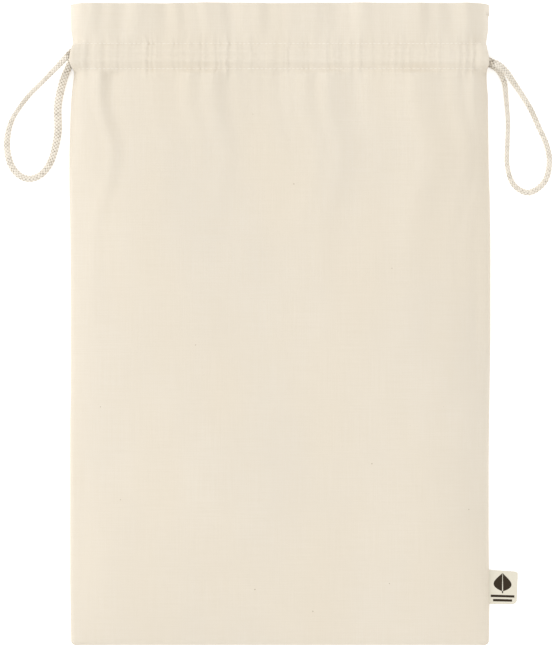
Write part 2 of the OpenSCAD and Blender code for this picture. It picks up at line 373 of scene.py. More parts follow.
# Seen width of the flattened braid along each loop: (share of its length, width in mm)
LEFT_WIDTHS = [
    (0.0, 5.0), (0.06, 4.5), (0.13, 3.9), (0.28, 3.7), (0.36, 4.7), (0.45, 5.2), (0.54, 5.0),
    (0.62, 5.2), (0.72, 5.8), (0.85, 6.0), (0.94, 5.6), (1.0, 5.2),
]
RIGHT_WIDTHS = [
    (0.0, 5.2), (0.08, 5.0), (0.16, 4.4), (0.3, 4.2), (0.42, 4.5), (0.52, 4.6), (0.62, 3.9),
    (0.72, 3.6), (0.85, 3.7), (0.93, 4.3), (1.0, 5.2),
]


# ---- Settings ---------------------------------------------------------------------------------


def colour(name, description, default):
    """A colour setting, from 8-bit display values."""
    return bpy.props.FloatVectorProperty(
        name=name, description=description, default=linear(*default), subtype="COLOR",
        size=3, min=0, max=1,
    )


def length(name, description, default):
    """A length setting, in metres."""
    return bpy.props.FloatProperty(
        name=name, description=description, default=default, unit="LENGTH", min=0, precision=5
    )


def linear(*display):
    """Linear colour from 8-bit display values."""
    shares = [c / 255 for c in display]
    return tuple(s / 12.92 if s <= 0.04045 else ((s + 0.055) / 1.055) ** 2.4 for s in shares)


class ClothSettings(bpy.types.PropertyGroup):
    """Sizes and colour of the cotton cloth"""

    ply: length("Ply", "Thickness of one ply of cloth", 0.45 * MM)
    header_fold: length("Header fold", "Depth of the soft folds above the channel", 3.6 * MM)
    pucker: length("Pucker", "Depth of the puckers along the stitch rows", 0.72 * MM)
    body_fold: length("Body fold", "Depth of the folds that run down from the channel", 3.3 * MM)
    body_wave: length("Body wave", "Depth of the wide waves of the body", 1.4 * MM)
    thread_pitch: length("Thread pitch", "Distance between two threads of the weave", 0.62 * MM)
    tint: colour("Cloth", "Colour of the unbleached cotton", (225, 216, 201))
    fleck: colour("Fleck", "Colour of the seed flecks", (150, 128, 96))


class CordSettings(bpy.types.PropertyGroup):
    """Sizes and colour of the braided cords"""

    lay: length("Lay", "Length in which a strand goes once round", 12.5 * MM)
    strand: length("Strand", "Width of one strand", 1.56 * MM)
    tint: colour("Cord", "Colour of the cord's strands", (241, 235, 225))
    # The core colour is painted shade for the gaps between the strands and for the strands where they dip under.
    core: colour("Core", "Colour of the gaps between the strands", (158, 139, 108))


class StitchSettings(bpy.types.PropertyGroup):
    """Sizes and colour of the stitches"""

    pitch: length("Pitch", "Distance from one stitch to the next", 3.0 * MM)
    long: length("Stitch", "Length of a stitch that shows", 2.5 * MM)
    thick: length("Thread", "Thickness of the thread", 0.5 * MM)
    tint: colour("Thread", "Colour of the sewing thread", (240, 234, 222))


class LabelSettings(bpy.types.PropertyGroup):
    """Sizes and colours of the side label"""

    tape: length("Tape", "Thickness of the tape", 0.3 * MM)
    round: length("Corner", "Radius of the label's outer corners", 3.2 * MM)
    tint: colour("Tape", "Colour of the tape", (222, 216, 200))
    ink: colour("Ink", "Colour of the printed leaf", (48, 38, 25))


SETTINGS = {
    "sack_cloth": ClothSettings,
    "sack_cord": CordSettings,
    "sack_stitch": StitchSettings,
    "sack_label": LabelSettings,
}


# ---- Small numeric helpers --------------------------------------------------------------------


def smooth(t):
    """0 below 0, 1 above 1, and an even S between."""
    t = np.clip(t, 0, 1)
    return t * t * (3 - 2 * t)


def rough_line(x, spacing, seed):
    """Smooth noise from -1 to 1 along one axis, with knots this far apart."""
    table = np.random.RandomState(seed).uniform(-1, 1, 1024)
    place = np.asarray(x) / spacing + 400
    knot = np.floor(place).astype(int)
    f = smooth(place - knot)
    return table[knot % 1024] * (1 - f) + table[(knot + 1) % 1024] * f


def rough_field(x, y, spacing_x, spacing_y, seed):
    """Smooth noise from -1 to 1 over a plane."""
    size = 128
    table = np.random.RandomState(seed).uniform(-1, 1, (size, size))
    px, py = np.asarray(x) / spacing_x + 60, np.asarray(y) / spacing_y + 60
    i, j = np.floor(px).astype(int), np.floor(py).astype(int)
    fx, fy = smooth(px - i), smooth(py - j)
    i, j, i1, j1 = i % size, j % size, (i + 1) % size, (j + 1) % size
    low = table[i, j] * (1 - fx) + table[i1, j] * fx
    high = table[i, j1] * (1 - fx) + table[i1, j1] * fx
    return low * (1 - fy) + high * fy


def bell(t):
    """1 at 0, falling off evenly on both sides."""
    return np.exp(-np.square(t))


# ---- The sack's shape -------------------------------------------------------------------------


def half_width(y, side):
    """Half width of the sack at a height along it, on one side."""
    low = np.clip((BOTTOM_Y + CORNER_R - y) / CORNER_R, 0, 1)
    corner = CORNER_R * (1 - np.sqrt(1 - low**2))
    at, wide = np.array(RIGHT_SHAPE if side > 0 else LEFT_SHAPE).T * MM
    near = [np.interp(y + d * MM, at, wide) for d in (-1.6, -0.8, 0, 0.8, 1.6)]
    return sum(near) / len(near) - corner


def header_share(y):
    """0 at the upper stitch row and below it, 1 at the mouth."""
    return np.clip((y - UPPER_ROW) / (MOUTH_Y - UPPER_ROW), 0, 1)


def slit_open(y):
    """1 where the sides stand open as slits, 0 where a seam closes them."""
    return smooth((y - SLIT_LOW) / SLIT_RISE) * smooth((SLIT_HIGH - y) / SLIT_RISE)


def inside_z(u, y):
    """Height of the sack's inside, at a share of its half width and a place along it."""
    from_bottom = np.clip((y - BOTTOM_Y) / BODY_RISE_L, 0, 1)
    body = EDGE_Z + (BODY_Z - EDGE_Z) * np.sqrt(np.sin(from_bottom * math.pi / 2))
    to_casing = smooth((y - HEM_LOW + CASING_RISE_L) / CASING_RISE_L)
    to_header = smooth(header_share(y))
    centre = body + (ROW_Z - body) * to_casing + (HEADER_Z - ROW_Z) * to_header
    edge = EDGE_Z + (ROW_Z - EDGE_Z) * slit_open(y)
    power = 7 + 23 * smooth((y - HEM_LOW + 90 * MM) / (80 * MM))
    return edge + (np.maximum(centre, edge) - edge) * (1 - np.abs(u) ** power)


def channel(y):
    """0 at the stitch rows, 1 where the casing lies over its two cords."""
    t = np.clip(np.abs(y - CHANNEL_Y) / (CHANNEL_W / 2), 0, 1)
    return 1 - smooth((t - 0.42) / 0.58)


def cord_ridge(x, y):
    """Faint ridge of each cord through the cloth, clearest where the casing is pulled tight."""
    turn = (y - LEFT_CORD_Y) / (LEFT_CORD_Y - RIGHT_CORD_Y) * 2 * math.pi
    tight = 0.15 + 0.2 * bell((x + 75 * MM) / (45 * MM))
    return tight * MM * np.cos(turn) * channel(y) ** 2


def ridges(x, places):
    """Rounded ridges across a line, each at (place, half width, height), in mm and shares."""
    return sum(high * bell((x - at * MM) / (wide * MM)) for at, wide, high in places)


def folds(x, y, cloth, seed):
    """Height that soft folds and puckers add to a panel."""
    above = header_share(y)
    below = np.clip(LOWER_ROW - y, 0, None)
    ends = 1 + 0.8 * smooth((np.abs(x) - 100 * MM) / (40 * MM))
    slant = x + 4 * MM * above * rough_line(x, 50 * MM, seed)
    header = ridges(slant, HEADER_FOLDS) + 0.45 * rough_line(slant, 8 * MM, seed + 1)
    high = cloth.header_fold * header * above**0.6
    rows = bell((y - UPPER_ROW) / (6 * MM)) + bell((y - LOWER_ROW) / (6.5 * MM))
    rows = rows + 0.55 * channel(y)
    gather = 0.7 + 0.3 * rough_line(x, 22 * MM, seed + 3)
    lean = x + 0.8 * MM * rough_field(x, y, 9 * MM, 7 * MM, seed + 4)
    fine = rough_line(lean, 1.7 * MM, seed + 5)
    wide = rough_line(lean, 5.5 * MM, seed + 6)
    puckers = cloth.pucker * rows * gather * (0.75 * fine + 0.5 * wide) * ends**0.5
    drift = x + 8 * MM * rough_line(below, 60 * MM, seed + 7) * np.minimum(below / (50 * MM), 1)
    falls = 0.45 * np.exp(-below / (30 * MM)) * rough_line(drift, 9 * MM, seed + 8)
    falls = falls + 0.6 * np.exp(-below / (80 * MM)) * rough_line(drift, 24 * MM, seed + 9)
    falls = falls + np.exp(-below / (65 * MM)) * ridges(drift, FALLING_FOLDS)
    on_body = smooth(below / (4 * MM)) * cloth.body_fold * falls
    wave = rough_field(x, y, 55 * MM, 110 * MM, seed + 10)
    wave = wave + 0.35 * rough_field(x, y, 24 * MM, 50 * MM, seed + 13)
    body = smooth((below - 10 * MM) / (60 * MM)) * cloth.body_wave * wave
    from_side, from_bottom = HALF_W - np.abs(x), y - BOTTOM_Y
    from_edge = np.minimum(from_side, from_bottom)
    seam = bell(from_edge / (7 * MM)) * smooth(from_edge / (1.5 * MM))
    along = np.where(from_side < from_bottom, y, x)
    sewn = 0.14 * MM * seam * rough_line(along, 4.5 * MM, seed + 14)
    quiet_edge = smooth(from_side / (12 * MM))
    quiet_bottom = smooth(from_bottom / (14 * MM))
    return (high + puckers + on_body + body) * quiet_edge * quiet_bottom + sewn


def front_z(u, x, y, cloth):
    """Height of the front panel's outer face before its side edges turn down."""
    lift = FRONT_RISE * channel(y) + cord_ridge(x, y)
    return inside_z(u, y) + 2 * FOLD_R + lift + folds(x, y, cloth, FRONT_SEED)


def back_z(x, y):
    """Height of the back panel's outer face: flat on the ground, just off it in a few places."""
    lift = 0.5 + 0.5 * rough_line(x, 14 * MM, 44)
    return 0.05 * MM + 0.5 * MM * lift * smooth(header_share(y))


def back_hem_z(x, y):
    """Height of the back hem's upper face, which bends up to clear the cords."""
    return back_z(x, y) + 2 * FOLD_R + BACK_RISE * channel(y)


def edge_turn(u, y):
    """0 on the panel, rising to 1 in the last few millimetres at its sides and bottom."""
    in_x = np.clip((EDGE_ROUND - HALF_W * (1 - np.abs(u))) / EDGE_ROUND, 0, 1)
    in_y = np.clip((EDGE_ROUND - (y - BOTTOM_Y)) / EDGE_ROUND, 0, 1)
    k = np.clip(np.sqrt(in_x**2 + in_y**2), 0, 1)
    return 1 - np.sqrt(1 - k**2)


# ---- Meshes -----------------------------------------------------------------------------------


def add_object(name, mesh):
    """A new object in the scene for a mesh."""
    obj = bpy.data.objects.new(name, mesh)
    bpy.context.scene.collection.objects.link(obj)
    return obj


def mesh_from(name, points, faces, flat_faces=(), uv=None, layer="Cut"):
    """A mesh, smooth but for some faces, with an optional UV for each point."""
    if not np.isfinite(points).all():
        raise ValueError(f"{name} has points without a place")
    mesh = bpy.data.meshes.new(name)
    mesh.from_pydata(points.tolist(), [], faces)
    smooth_faces = np.ones(len(mesh.polygons), bool)
    smooth_faces[list(flat_faces)] = False
    mesh.polygons.foreach_set("use_smooth", smooth_faces)
    if uv is not None:
        corners = np.zeros(len(mesh.loops), int)
        mesh.loops.foreach_get("vertex_index", corners)
        cut = mesh.uv_layers.new(name=layer)
        cut.data.foreach_set("uv", uv[corners].astype(np.float32).ravel())
    return mesh


def finish_piece(name, mesh, material, slot, node=None, body=None):
    """The object of a mesh, with its finish, what it stands for and the body that it rides on."""
    if not mesh.polygons:
        raise RuntimeError(f"{name} has no faces")
    mesh.materials.append(material)
    piece = add_object(name, mesh)
    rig.slot(piece, slot)
    if node:
        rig.replaces(piece, node)
    if body:
        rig.ride(piece, body)
    return piece


def grid_normals(points):
    """Unit normals of a grid of points, rows by columns."""
    across = np.gradient(points, axis=1)
    along = np.gradient(points, axis=0)
    normal = np.cross(across, along)
    return normal / np.maximum(np.linalg.norm(normal, axis=2, keepdims=True), 1e-12)


def ply_mesh(name, outer, thickness, uv, normals=None, open_columns=()):
    """A closed ply of cloth under a grid of outer points. Normals at open_columns stay as given."""
    rows, columns = outer.shape[:2]
    if normals is None:
        normals = grid_normals(outer)
    points = np.concatenate([outer.reshape(-1, 3), (outer - thickness * normals).reshape(-1, 3)])
    n = rows * columns
    a = (np.arange(rows - 1)[:, None] * columns + np.arange(columns - 1)).ravel()
    top = np.stack([a, a + 1, a + 1 + columns, a + columns], 1)
    under = top[:, ::-1] + n
    i = np.arange(columns - 1)
    last = (rows - 1) * columns + i
    j = np.arange(rows - 1) * columns
    right = j + columns - 1
    walls = np.concatenate([
        np.stack([i + 1, i, i + n, i + 1 + n], 1),
        np.stack([last, last + 1, last + 1 + n, last + n], 1),
        np.stack([j, j + columns, j + columns + n, j + n], 1),
        np.stack([right + columns, right, right + n, right + columns + n], 1),
    ])
    faces = np.concatenate([top, under, walls])
    flat = range(2 * len(top), len(faces))
    both = np.concatenate([uv.reshape(-1, 2)] * 2)
    mesh = mesh_from(name, points, faces.tolist(), flat, both)
    if open_columns:
        kept = np.zeros((2, rows, columns, 3))
        for c in open_columns:
            kept[0, :, c] = normals[:, c]
            kept[1, :, c] = -normals[:, c]
        mesh.normals_split_custom_set_from_vertices(kept.reshape(-1, 3).tolist())
    return mesh


def gather_share(x, y):
    """How far a point of the cloth follows a pulled cord: all the way at the slits, less below."""
    below = smooth((y - LOWER_ROW + GATHER_L) / GATHER_L) ** 1.4
    header = 1 - MOUTH_LAG * header_share(y)
    return np.clip(np.abs(x) / (HALF_W - 2 * MM), 0, 1) * below * header


def gather(piece, side):
    """The cloth on one side bunches towards the middle with the cord whose turn it holds."""
    cord = "left_cord" if side > 0 else "right_cord"
    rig.blend(piece, "root", cord, start=(0, CHANNEL_Y, 0), end=(side * HALF_W, CHANNEL_Y, 0))
    co = np.zeros(len(piece.data.vertices) * 3, np.float32)
    piece.data.vertices.foreach_get("co", co)
    x, y, _ = co.reshape(-1, 3).T
    share = gather_share(np.clip(side * x, 0, None), y)
    piece.data.attributes["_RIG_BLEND"].data.foreach_set("value", share.astype(np.float32))


def cloth_halves(name, node, outer, columns_middle, cloth, material):
    """Cuts a panel's grid at its middle column into two pieces that gather on their own sides."""
    normals = grid_normals(outer)
    reverse = outer[0, 0, 0] > outer[0, -1, 0]
    uv = cut_uv(outer)
    for side, word in SIDES:
        first = (side > 0) != reverse
        part = slice(columns_middle, None) if first else slice(0, columns_middle + 1)
        open_column = 0 if first else -1
        mesh = ply_mesh(
            f"{name}_{word}", outer[:, part], cloth.ply, uv[:, part], normals[:, part],
            (open_column,),
        )
        piece = finish_piece(f"{name}_{word}", mesh, material, "cotton_cloth", node)
        gather(piece, side)
        yield piece


def cut_uv(outer):
    """UV of a grid from the lengths along its cloth, so that the weave follows the folds over."""
    x = outer[..., 0]
    steps = np.linalg.norm(np.diff(outer[:, outer.shape[1] // 2], axis=0), axis=1)
    along = outer[0, outer.shape[1] // 2, 1] + np.concatenate([[0], np.cumsum(steps)])
    v = np.broadcast_to(along[:, None], x.shape)
    return np.stack([0.5 + x / CUT_SPAN, 0.5 + (v - 0.02) / CUT_SPAN], 2)


def columns():
    """Shares of the half width, a millimetre apart and closer at the rounded side edges."""
    w = HALF_W / MM
    plain = np.arange(0, w - 3.4, 1.0)
    turn = w - 3 * (1 - np.sin(np.radians(np.linspace(0, 90, 9))))
    side = np.concatenate([plain, turn]) / w
    return np.concatenate([-side[:0:-1], side]), len(side) - 1


def rows_up(fine_from, coarse):
    """Places along the sack, closer at the bottom edge and from below the channel to the mouth."""
    turn = BOTTOM_Y + EDGE_ROUND * (1 - np.cos(np.radians(np.linspace(0, 90, 9))))
    low = BOTTOM_Y + np.array([4.5, 6.5, 9, 12]) * MM
    body = np.arange(BOTTOM_Y + 16 * MM, fine_from, coarse)
    near = np.arange(body[-1] + 2 * MM, HEM_LOW - 14 * MM, 2 * MM)
    top = np.arange(near[-1] + 1 * MM, MOUTH_Y - FOLD_R - 0.4 * MM, 0.9 * MM)
    return np.concatenate([turn, low, body, near, top, [MOUTH_Y - FOLD_R]])


def spread(u, y, front):
    """Shares and places of a grid, with the sides shaped and the mouth's edge a little uneven."""
    wave = MOUTH_WAVE * rough_line(u * HALF_W, 45 * MM, 5 if front else 6)
    u, y = np.meshgrid(u, y)
    y = y + (wave - MOUTH_DROP) * smooth(header_share(y))
    return u, u * np.where(u >= 0, half_width(y, 1), half_width(y, -1)), y


def panel_grid(cloth, front):
    """Outer face of a panel, from the bottom seam up and over the mouth's fold."""
    u, mid = columns()
    y = rows_up((90 if front else 120) * MM, (4 if front else 6) * MM)
    u, x, y = spread(u if front else u[::-1], y, front)
    turn = edge_turn(u, y)
    z = front_z(u, x, y, cloth) if front else back_z(x, y)
    lip = z + (FRONT_LIP if front else BACK_LIP)
    meet = SEAM_Z + (lip - SEAM_Z) * slit_open(y)
    main = np.stack([x, y, z + (meet - z) * turn], 2)
    inward = -1 if front else 1
    turned = []
    for angle in np.radians(np.arange(22.5, 181, 22.5)):
        ring = main[-1].copy()
        ring[:, 1] += FOLD_R * np.sin(angle)
        ring[:, 2] += inward * FOLD_R * (1 - np.cos(angle)) * (1 - 0.7 * turn[-1])
        turned.append(ring)
    turned += [turned[-1] - [0, down, 0] for down in FOLD_STEPS]
    return np.concatenate([main, np.array(turned)]), mid


def hem_grid(cloth, front):
    """Outer face of a folded-in hem, from the fold down to its lower edge."""
    u, mid = columns()
    keep = np.abs(u) * HALF_W <= TURN_X + 0.4 * MM
    dropped = int(np.argmax(keep))
    u = u[keep]
    y = np.arange(MOUTH_Y - FOLD_R - HEM_DROP, HEM_LOW, -0.9 * MM)
    u, x, y = spread(u if front else u[::-1], np.append(y, HEM_LOW), front)
    if front:
        soft = 1 - 0.9 * channel(y)
        z = inside_z(u, y) + soft * folds(x, y, cloth, FRONT_SEED) - FRONT_SAG * channel(y)
    else:
        z = back_hem_z(x, y)
    return np.stack([x, y, z], 2), mid - dropped


# ---- Materials --------------------------------------------------------------------------------


def add_node(tree, kind, settings=None, **inputs):
    """A node with its settings, and inputs by name or _number: sockets to link, or values."""
    made = tree.nodes.new(kind)
    for key, value in (settings or {}).items():
        setattr(made, key, value)
    for key, value in inputs.items():
        socket = made.inputs[int(key[1:]) if key[1:].isdigit() else key]
        if isinstance(value, bpy.types.NodeSocket):
            tree.links.new(value, socket)
        else:
            socket.default_value = value
    return made


class Surface:
    """A procedural material under construction."""

    def __init__(self, name, roughness, sheen=0.0):
        self.material = bpy.data.materials.new(name)
        self.material.use_nodes = True
        self.tree = self.material.node_tree
        self.shader = self.tree.nodes["Principled BSDF"]
        for socket, value in (
            ("Roughness", roughness), ("Sheen Weight", sheen), ("Sheen Roughness", 0.6),
            ("Specular IOR Level", 0.2),
        ):
            self.shader.inputs[socket].default_value = value

    def node(self, kind, settings=None, **inputs):
        """First output of a new shader node."""
        return add_node(self.tree, "ShaderNode" + kind, settings, **inputs).outputs[0]

    def math(self, operation, *values):
        """One arithmetic step."""
        inputs = {f"_{k}": value for k, value in enumerate(values)}
        return self.node("Math", {"operation": operation}, **inputs)

    def scaled(self, vector, scale):
        """A vector times a scale on each axis."""
        return self.node("Mapping", Vector=vector, Scale=scale)

    def metres(self, scale):
        """Cloth coordinates from its UV, in metres times a scale."""
        return self.scaled(self.node("UVMap", {"uv_map": "Cut"}), [CUT_SPAN * s for s in scale])

    def place(self, scale):
        """Object coordinates, times a scale."""
        at = add_node(self.tree, "ShaderNodeTexCoord")
        return self.scaled(at.outputs["Object"], scale)

    def parts(self, vector):
        """The three parts of a vector."""
        return add_node(self.tree, "ShaderNodeSeparateXYZ", _0=vector).outputs

    def noise(self, vector, detail=2.0, roughness=0.5):
        """Smooth noise at a scaled vector, from 0 to 1."""
        return self.node(
            "TexNoise", {"normalize": True},
            Vector=vector, Scale=1.0, Detail=detail, Roughness=roughness,
        )

    def ramp(self, value, low, high, to_low=0.0, to_high=1.0):
        """A value from low..high spread over to_low..to_high, and held at both ends."""
        ends = {"From Min": low, "From Max": high, "To Min": to_low, "To Max": to_high}
        return self.node("MapRange", {"interpolation_type": "SMOOTHSTEP"}, Value=value, **ends)

    def mix(self, share, a, b):
        """A share of colour b over colour a."""
        a, b = (c if isinstance(c, bpy.types.NodeSocket) else (*c[:3], 1) for c in (a, b))
        settings = {"data_type": "RGBA", "blend_type": "MIX"}
        return add_node(self.tree, "ShaderNodeMix", settings, _0=share, _6=a, _7=b).outputs[2]

    def bump(self, height, distance, strength=1.0, **over):
        """Relief of a height from 0 to 1 that is this many metres deep."""
        return self.node("Bump", Height=height, Distance=distance, Strength=strength, **over)

    def finish(self, tint, normal=None, rough=None):
        """Joins colour, relief and roughness to the shader."""
        for socket, value in (("Base Color", tint), ("Normal", normal), ("Roughness", rough)):
            if value is not None:
                self.tree.links.new(value, self.shader.inputs[socket])
        return self.material


def shade(tint, share):
    """A colour times a share on each channel."""
    shares = share if hasattr(share, "__len__") else (share,) * 3
    return tuple(c * s for c, s in zip(tint, shares, strict=True))


def weave_height(s, vector, pitch):
    """Relief of a plain weave: warp over weft and weft over warp by turns."""
    x, y, _ = s.parts(vector)
    turn = math.pi / pitch
    across = s.math("SINE", s.math("MULTIPLY", x, turn))
    along = s.math("SINE", s.math("MULTIPLY", y, turn))
    which = s.ramp(s.math("MULTIPLY", across, along), -0.25, 0.25)
    warp = s.math("MULTIPLY", s.math("ABSOLUTE", across), which)
    weft = s.math("MULTIPLY", s.math("ABSOLUTE", along), s.math("SUBTRACT", 1.0, which))
    return s.math("ADD", warp, weft)


def cotton_cloth(cloth):
    """Unbleached plain-weave cotton: uneven threads, slubs, faint mottling and seed flecks."""
    s = Surface("Cotton cloth", 0.92, sheen=0.12)
    flat = s.metres((1, 1, 1))
    wobble = s.noise(s.metres((220, 220, 1)), 1.0)
    shift = s.math("MULTIPLY", s.math("SUBTRACT", wobble, 0.5), 0.0009)
    moved = s.node("VectorMath", {"operation": "ADD"}, _0=flat, _1=s.node(
        "CombineXYZ", X=shift, Y=shift, Z=0.0))
    weave = weave_height(s, moved, cloth.thread_pitch)
    warp_slub = s.noise(s.metres((1500, 26, 1)), 3.0, 0.6)
    weft_slub = s.noise(s.metres((30, 1400, 1)), 3.0, 0.6)
    slub = s.math("MULTIPLY", s.math("ADD", warp_slub, weft_slub), 0.5)
    cloud = s.noise(s.metres((9, 9, 1)), 3.0, 0.55)
    warm = s.noise(s.metres((16, 7, 1)), 2.0)
    tint = tuple(cloth.tint)
    base = s.mix(s.ramp(cloud, 0.3, 0.7), shade(tint, 0.975), shade(tint, 1.012))
    base = s.mix(
        s.math("MULTIPLY", s.ramp(warm, 0.35, 0.7), 0.8), base, shade(tint, (1.0, 0.985, 0.955))
    )
    base = s.mix(s.ramp(slub, 0.36, 0.64, 0.0, 0.55), base, shade(tint, (0.955, 0.94, 0.90)))
    # Painted shade in the weave's hollows: darker where the threads dip between each other.
    base = s.mix(s.ramp(weave, 0.0, 0.55, 0.22, 0.0), base, shade(tint, (0.8, 0.77, 0.7)))
    cells = add_node(s.tree, "ShaderNodeTexVoronoi", Vector=s.metres((74, 74, 1)), Scale=1.0)
    chance = s.node("SeparateColor", Color=cells.outputs["Color"])
    speck = s.math("LESS_THAN", cells.outputs["Distance"], s.ramp(chance, 0.45, 1.0, 0.0, 0.034))
    base = s.mix(s.math("MULTIPLY", speck, 0.6), base, tuple(cloth.fleck))
    relief = s.bump(weave, 0.00010, 0.8)
    relief = s.bump(slub, 0.00022, 0.7, Normal=relief)
    rough = s.ramp(slub, 0.3, 0.7, 0.88, 0.97)
    return s.finish(base, relief, rough)


def braided_cotton(cord):
    """Soft cotton yarn: fibres along each strand, and painted shade between the strands and where they dip under."""
    s = Surface("Braided cotton", 0.9, sheen=0.15)
    fibre = s.noise(s.scaled(s.node("UVMap", {"uv_map": "Strand"}), (9, 5, 1)), 3.0, 0.6)
    fuzz = s.noise(s.place((2500, 2500, 2500)), 2.0)
    at = add_node(s.tree, "ShaderNodeAttribute", {"attribute_name": "Depth"})
    depth = at.outputs["Fac"]
    spot = s.ramp(s.noise(s.place((760, 760, 760)), 1.0), 0.5, 0.62)
    tint, core = tuple(cord.tint), tuple(cord.core)
    base = s.mix(s.ramp(fibre, 0.3, 0.7, 0.0, 0.8), tint, shade(tint, (0.93, 0.91, 0.86)))
    base = s.mix(s.ramp(fuzz, 0.35, 0.7, 0.0, 0.35), base, shade(tint, (0.95, 0.92, 0.85)))
    # Painted shade for the gaps between the strands: the core colour, darker in random patches.
    deep_gap_shade = shade(core, (0.34, 0.28, 0.2))
    gap_shade = s.mix(spot, core, deep_gap_shade)
    # The strands take this painted shade where they dip under each other and on their inner side.
    base = s.mix(s.ramp(depth, 0.12, 0.84, 1.0, 0.0), base, gap_shade)
    # Painted shade, deeper in random patches where the strands dip under.
    patchy_dip_shade = s.math("MULTIPLY", spot, s.ramp(depth, 0.4, 0.84, 0.32, 0.0))
    base = s.mix(patchy_dip_shade, base, deep_gap_shade)
    relief = s.bump(fibre, 0.00018, 0.8)
    relief = s.bump(fuzz, 0.00012, 0.6, Normal=relief)
    return s.finish(base, relief, s.ramp(fuzz, 0.3, 0.7, 0.85, 0.96))


def sewing_thread(stitch):
    """Fine twisted thread."""
    s = Surface("Sewing thread", 0.8, sheen=0.1)
    twist = s.noise(s.place((2600, 900, 900)), 2.0)
    tint = tuple(stitch.tint)
    base = s.mix(s.ramp(twist, 0.3, 0.7), shade(tint, 0.93), tint)
    return s.finish(base, s.bump(twist, 0.0001, 0.8), s.ramp(twist, 0.3, 0.7, 0.74, 0.88))


def shared(name, make, settings):
    """The material of this name, made from its settings when it is first asked for."""
    return bpy.data.materials.get(name) or make(settings)


def label_tape(label):
    """Smooth woven tape with fine crosswise ribs."""
    s = Surface("Label tape", 0.62, sheen=0.08)
    _, y, _ = s.parts(s.place((1, 1, 1)))
    rib = s.math("ABSOLUTE", s.math("SINE", s.math("MULTIPLY", y, math.pi / (0.32 * MM))))
    cloud = s.noise(s.place((160, 160, 160)), 3.0)
    tint = tuple(label.tint)
    base = s.mix(s.ramp(cloud, 0.3, 0.7), shade(tint, (0.965, 0.96, 0.94)), tint)
    # Painted shade in the troughs between the ribs.
    base = s.mix(s.ramp(rib, 0.0, 0.6, 0.12, 0.0), base, shade(tint, 0.8))
    return s.finish(base, s.bump(rib, 0.00004, 0.8), s.ramp(cloud, 0.3, 0.7, 0.56, 0.7))


def print_ink(label):
    """Dark ink that lets a little of the tape's ribs through."""
    s = Surface("Print ink", 0.7)
    wear_and_shade = s.noise(s.place((1800, 3200, 1800)), 3.0)
    ink = tuple(label.ink)
    base = s.mix(s.ramp(wear_and_shade, 0.5, 0.75, 0.0, 0.5), ink, shade(ink, (1.9, 2.0, 2.1)))
    return s.finish(base, s.bump(wear_and_shade, 0.00003, 0.6))


# ---- Geometry Nodes ---------------------------------------------------------------------------


def stitch_tree(stitch, material):
    """Stitches along a line of edges: a slim bead for each, lying along the line."""
    tree = bpy.data.node_groups.get("Stitch row")
    if tree:
        return tree
    tree = bpy.data.node_groups.new("Stitch row", "GeometryNodeTree")
    face = tree.interface
    face.new_socket("Line", in_out="INPUT", socket_type="NodeSocketGeometry")
    for name, value in (("Pitch", stitch.pitch), ("Long", stitch.long), ("Thick", stitch.thick)):
        socket = face.new_socket(name, in_out="INPUT", socket_type="NodeSocketFloat")
        socket.default_value = value
    face.new_socket("Stitches", in_out="OUTPUT", socket_type="NodeSocketGeometry")
    given = add_node(tree, "NodeGroupInput").outputs
    thick = given["Thick"]

    def step(kind, settings=None, **inputs):
        return add_node(tree, kind, settings, **inputs).outputs[0]

    curve = step("GeometryNodeMeshToCurve", Mesh=given["Line"])
    points = step(
        "GeometryNodeResampleCurve", {"mode": "LENGTH"}, Curve=curve, Length=given["Pitch"])
    bead = step("GeometryNodeMeshUVSphere", Segments=8, Rings=6, Radius=0.5)
    size = step("ShaderNodeCombineXYZ", X=thick, Y=thick, Z=given["Long"])
    shaped = step("GeometryNodeTransform", Geometry=bead, Scale=size)
    turn = step(
        "FunctionNodeAlignRotationToVector", {"axis": "Z"},
        Vector=step("GeometryNodeInputTangent"))
    row = step("GeometryNodeInstanceOnPoints", Points=points, Instance=shaped, Rotation=turn)
    real = step("GeometryNodeRealizeInstances", Geometry=row)
    rounded = step("GeometryNodeSetShadeSmooth", Geometry=real)
    coated = step("GeometryNodeSetMaterial", Geometry=rounded, Material=material)
    add_node(tree, "NodeGroupOutput", Stitches=coated)
    return tree


def stitch_row(name, line, stitch, node=None, body=None):
    """Piece with the stitches along a line of points."""
    thread = shared("Sewing thread", sewing_thread, stitch)
    mesh = bpy.data.meshes.new(name)
    mesh.from_pydata(line.tolist(), [(k, k + 1) for k in range(len(line) - 1)], [])
    guide = add_object(name + "_guide", mesh)
    modifier = guide.modifiers.new("Stitches", "NODES")
    modifier.node_group = stitch_tree(stitch, thread)
    bpy.context.view_layer.update()
    shown = guide.evaluated_get(bpy.context.evaluated_depsgraph_get())
    made = bpy.data.meshes.new_from_object(shown)
    bpy.data.objects.remove(guide)
    made.materials.clear()
    return finish_piece(name, made, thread, "cotton_thread", node, body)


# ---- Cords ------------------------------------------------------------------------------------


def smooth_route(points):
    """A fine line through given points."""
    p = np.array(points, float)
    ends = np.concatenate([[2 * p[0] - p[1]], p, [2 * p[-1] - p[-2]]])
    t = np.linspace(0, 1, 24, endpoint=False)[:, None]
    out = []
    for k in range(1, len(ends) - 2):
        a, b, c, d = ends[k - 1 : k + 3]
        out.append(
            0.5 * (2 * b + (c - a) * t + (2 * a - 5 * b + 4 * c - d) * t**2
                   + (3 * b - a - 3 * c + d) * t**3)
        )
    return np.concatenate(out + [p[-1:]])


def resample(line, step):
    """A line with points an even step apart, and the distance along it."""
    along = np.concatenate([[0], np.cumsum(np.linalg.norm(np.diff(line, axis=0), axis=1))])
    at = np.linspace(0, along[-1], int(along[-1] / step) + 1)
    return np.stack([np.interp(at, along, line[:, k]) for k in range(3)], 1), at


def unit(v):
    """Rows of v at length 1."""
    return v / np.maximum(np.linalg.norm(v, axis=-1, keepdims=True), 1e-12)


